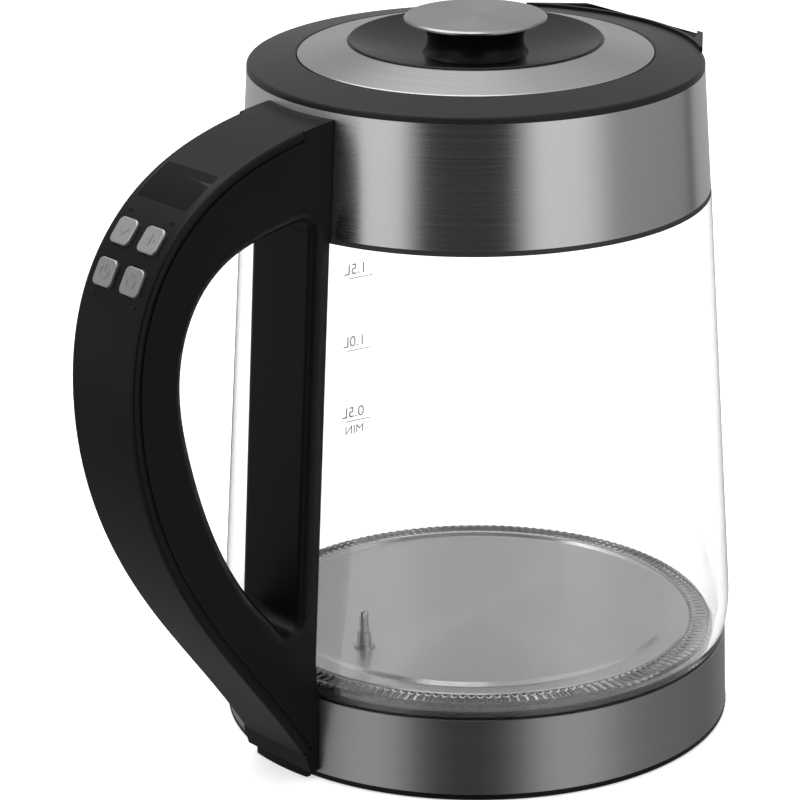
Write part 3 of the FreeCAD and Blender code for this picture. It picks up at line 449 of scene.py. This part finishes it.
acrylic = clear_glass("ring_acrylic", (0.74, 0.75, 0.75), 1.49, 0.02, 0.06)
top = [(ring_inner + (ring_outer - ring_inner) * s, ring_high.z) for s in np.linspace(0.0, 0.9, 9)]
profile = [(ring_inner, ring_low.z), (ring_outer, ring_low.z),
           (ring_outer, ring_high.z - RING_CHAMFER)] + top[::-1]
light_ring = lathe("light_ring_ribbed", profile, "jug", acrylic, segments=RIBS * 6, lift=ribs)
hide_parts("light_ring")


# ------------------------------------------------------------------ plate and its fittings
# Stainless plate, turned on its face, with a pressed ring groove; the sensor pin stands on it.
plate_steel = brushed_disc("plate_steel", (0.60,) * 3, (0.62,) * 3, 0.25, 0.265, 0.92, height=0.002)
cover(plate_steel, "heater_plate")
pin_steel = brushed_round("pin_steel", (0.45,) * 3, (0.55,) * 3, 0.18, 0.26, 0.3)
cover(pin_steel, "temperature_probe")
spreader = brushed_disc("cast_aluminium", (0.55,) * 3, (0.65,) * 3, 0.5, 0.6, 0.2, 400.0, 0.3)
cover(spreader, "heat_spreader")
sheath = brushed_round("element_sheath", (0.16, 0.15, 0.13), (0.26, 0.24, 0.21), 0.4, 0.6, 0.2, 60.0)
cover(sheath, "heating_element")
brass = brushed_disc("contact_brass", (0.60, 0.44, 0.18), (0.72, 0.55, 0.26), 0.25, 0.35, 0.3)
cover(brass, "coupler_contacts", "element_terminals")
zinc = brushed_round("zinc_screw", (0.45, 0.46, 0.48), (0.6, 0.61, 0.62), 0.25, 0.4, 0.1, 300.0)
cover(zinc, "base_screws", "lid_screws", "handle_screws")


# ------------------------------------------------------------------ seals, boards and wires
# Silicone seals squeezed between the glass and its carriers, green circuit boards with
# moulded lamps, and insulated wires, all clipped or screwed inside the base and the handle.
silicone = moulded("black_silicone", (0.012,) * 3, (0.02,) * 3, 0.45, 0.6)
cover(silicone, "neck_seal", "glass_gasket", "collar_seal", "lid_seal")
clear_silicone = moulded("clear_silicone", (0.42,) * 3, (0.5,) * 3, 0.35, 0.5)
cover(clear_silicone, "plate_seal")
board = moulded("board_mask", (0.015, 0.10, 0.04), (0.03, 0.17, 0.07), 0.3, 0.45, 0.2, 900.0)
cover(board, "control_board", "led_board", "display_module")
lamp_body = moulded("lamp_body", (0.75, 0.76, 0.72), (0.85, 0.86, 0.83), 0.2, 0.3)
cover(lamp_body, "leds")
red_silicone = moulded("red_silicone", (0.35, 0.02, 0.02), (0.45, 0.04, 0.03), 0.4, 0.55)
cover(red_silicone, "base_wires")
grey_jacket = moulded("grey_jacket", (0.12,) * 3, (0.18,) * 3, 0.5, 0.6)
cover(grey_jacket, "signal_cable")


# ------------------------------------------------------------------ lid metal
# The lid's cone ring and knob cap are stainless, turned on their faces and polished at the
# edge. The ring is clenched over the moulded lid, and the cap is pressed on to the stem.
lid_steel = brushed_disc("lid_steel", (0.37,) * 3, (0.40,) * 3, 0.24, 0.28, 0.85, height=0.006)
cover(lid_steel, "lid_trim_ring", "lid_bottom_plate")
cap_steel = brushed_disc("cap_steel", (0.31,) * 3, (0.34,) * 3, 0.28, 0.32, 0.6, height=0.01)
cover(cap_steel, "knob_cap")


# ------------------------------------------------------------------ display lens
# Window over the display, cut from smoked acrylic and polished. It is glued flush into the
# opening of the handle's cover.
smoke = moulded("smoked_lens", (0.001,) * 3, (0.002,) * 3, 0.03, 0.06, 0.01, Specular_IOR_Level=0.1)
cover(smoke, "display_lens")


# ------------------------------------------------------------------ keys
# Four caps moulded in ABS and painted in satin silver, with a shallow symbol on each. A
# flange under the cover holds every cap, and a switch on the board pushes it back.
key_paint = moulded("key_silver", (0.33, 0.33, 0.325), (0.38, 0.38, 0.375), 0.30, 0.38, 0.15, 3800.0,
                    Metallic=0.85)
# The symbols take a darker silver than the caps. This is painted shade along their shallow relief, since
# they carry the same silver paint as the caps.
icon_painted_shade, icon_tree, icon_shader = new_material("icon_silver_painted_shade", Metallic=0.7)
vary(icon_tree, icon_shader, object_grain(icon_tree, (3800.0,) * 3), (0.27,) * 3, (0.31,) * 3,
     0.35, 0.45, 0.1)
ICON_LIFT = 0.00006
ICON_WIDTH = 0.00042
ICON_THICKNESS = 0.00012


def circle_path(radius, first, last, steps=25):
    """Arc of a circle round the key's centre, angles in degrees from the key's top."""
    angle = np.radians(np.linspace(first, last, steps))
    return np.stack([radius * np.sin(angle), radius * np.cos(angle)], -1)


ICONS = {
    "minus": [np.array([(-0.0019, 0.0009), (0.0, -0.0013), (0.0019, 0.0009)])],
    "plus": [np.array([(-0.0019, 0.0), (0.0019, 0.0)]), np.array([(0.0, -0.0019), (0.0, 0.0019)])],
    "power": [circle_path(0.0019, 35, 325), np.array([(0.0, 0.0004), (0.0, 0.0023)])],
    "keep_warm": [np.array([(-0.0019, 0.0006), (-0.0013, -0.0018), (0.0013, -0.0018),
                            (0.0019, 0.0006)]),
                  np.array([(-0.0007, 0.0012), (-0.0007, 0.0021)]),
                  np.array([(0.0007, 0.0012), (0.0007, 0.0021)])],
}


def key_face(name):
    """Centre of a key's face, and its axes: sideways, up the handle and out of it."""
    joint = next(j for j in frame["joints"] if j["name"] == "key_" + name + "_press")
    out = -np.array(joint["axis"], float)
    points = np.empty(len(nodes["key_" + name].data.vertices) * 3)
    nodes["key_" + name].data.vertices.foreach_get("co", points)
    points = points.reshape(-1, 3)
    top = (points @ out).max()
    face = points[(points @ out) > top - 1e-5]
    side = np.array((0.0, -1.0, 0.0))
    return (face.max(0) + face.min(0)) / 2, side, np.cross(out, side), out


def stroke(path, width):
    """Flat strip along a path: each point is moved half the width to both sides of it."""
    along = np.gradient(path, axis=0)
    along /= np.linalg.norm(along, axis=1)[:, None]
    across = np.stack([-along[:, 1], along[:, 0]], -1) * width / 2
    points = np.concatenate([path + across, path - across])
    count = len(path)
    return points, [(k + count, k + 1 + count, k + 1, k) for k in range(count - 1)]


for name, paths in ICONS.items():
    cover(key_paint, "key_" + name)
    centre, side, up, out = key_face(name)
    points, faces, start = [], [], 0
    for path in paths:
        flat, quads = stroke(path, ICON_WIDTH)
        points.append(centre + flat[:, :1] * side + flat[:, 1:] * up + out * ICON_LIFT)
        faces += [[v + start for v in quad] for quad in quads]
        start += len(flat)
    icon = mesh_piece("icon_" + name, np.concatenate(points), faces, "key_" + name + "_body", icon_painted_shade,
                      smooth=False)
    solid = icon.modifiers.new("thickness", "SOLIDIFY")
    solid.thickness = ICON_THICKNESS
    solid.offset = 0.0
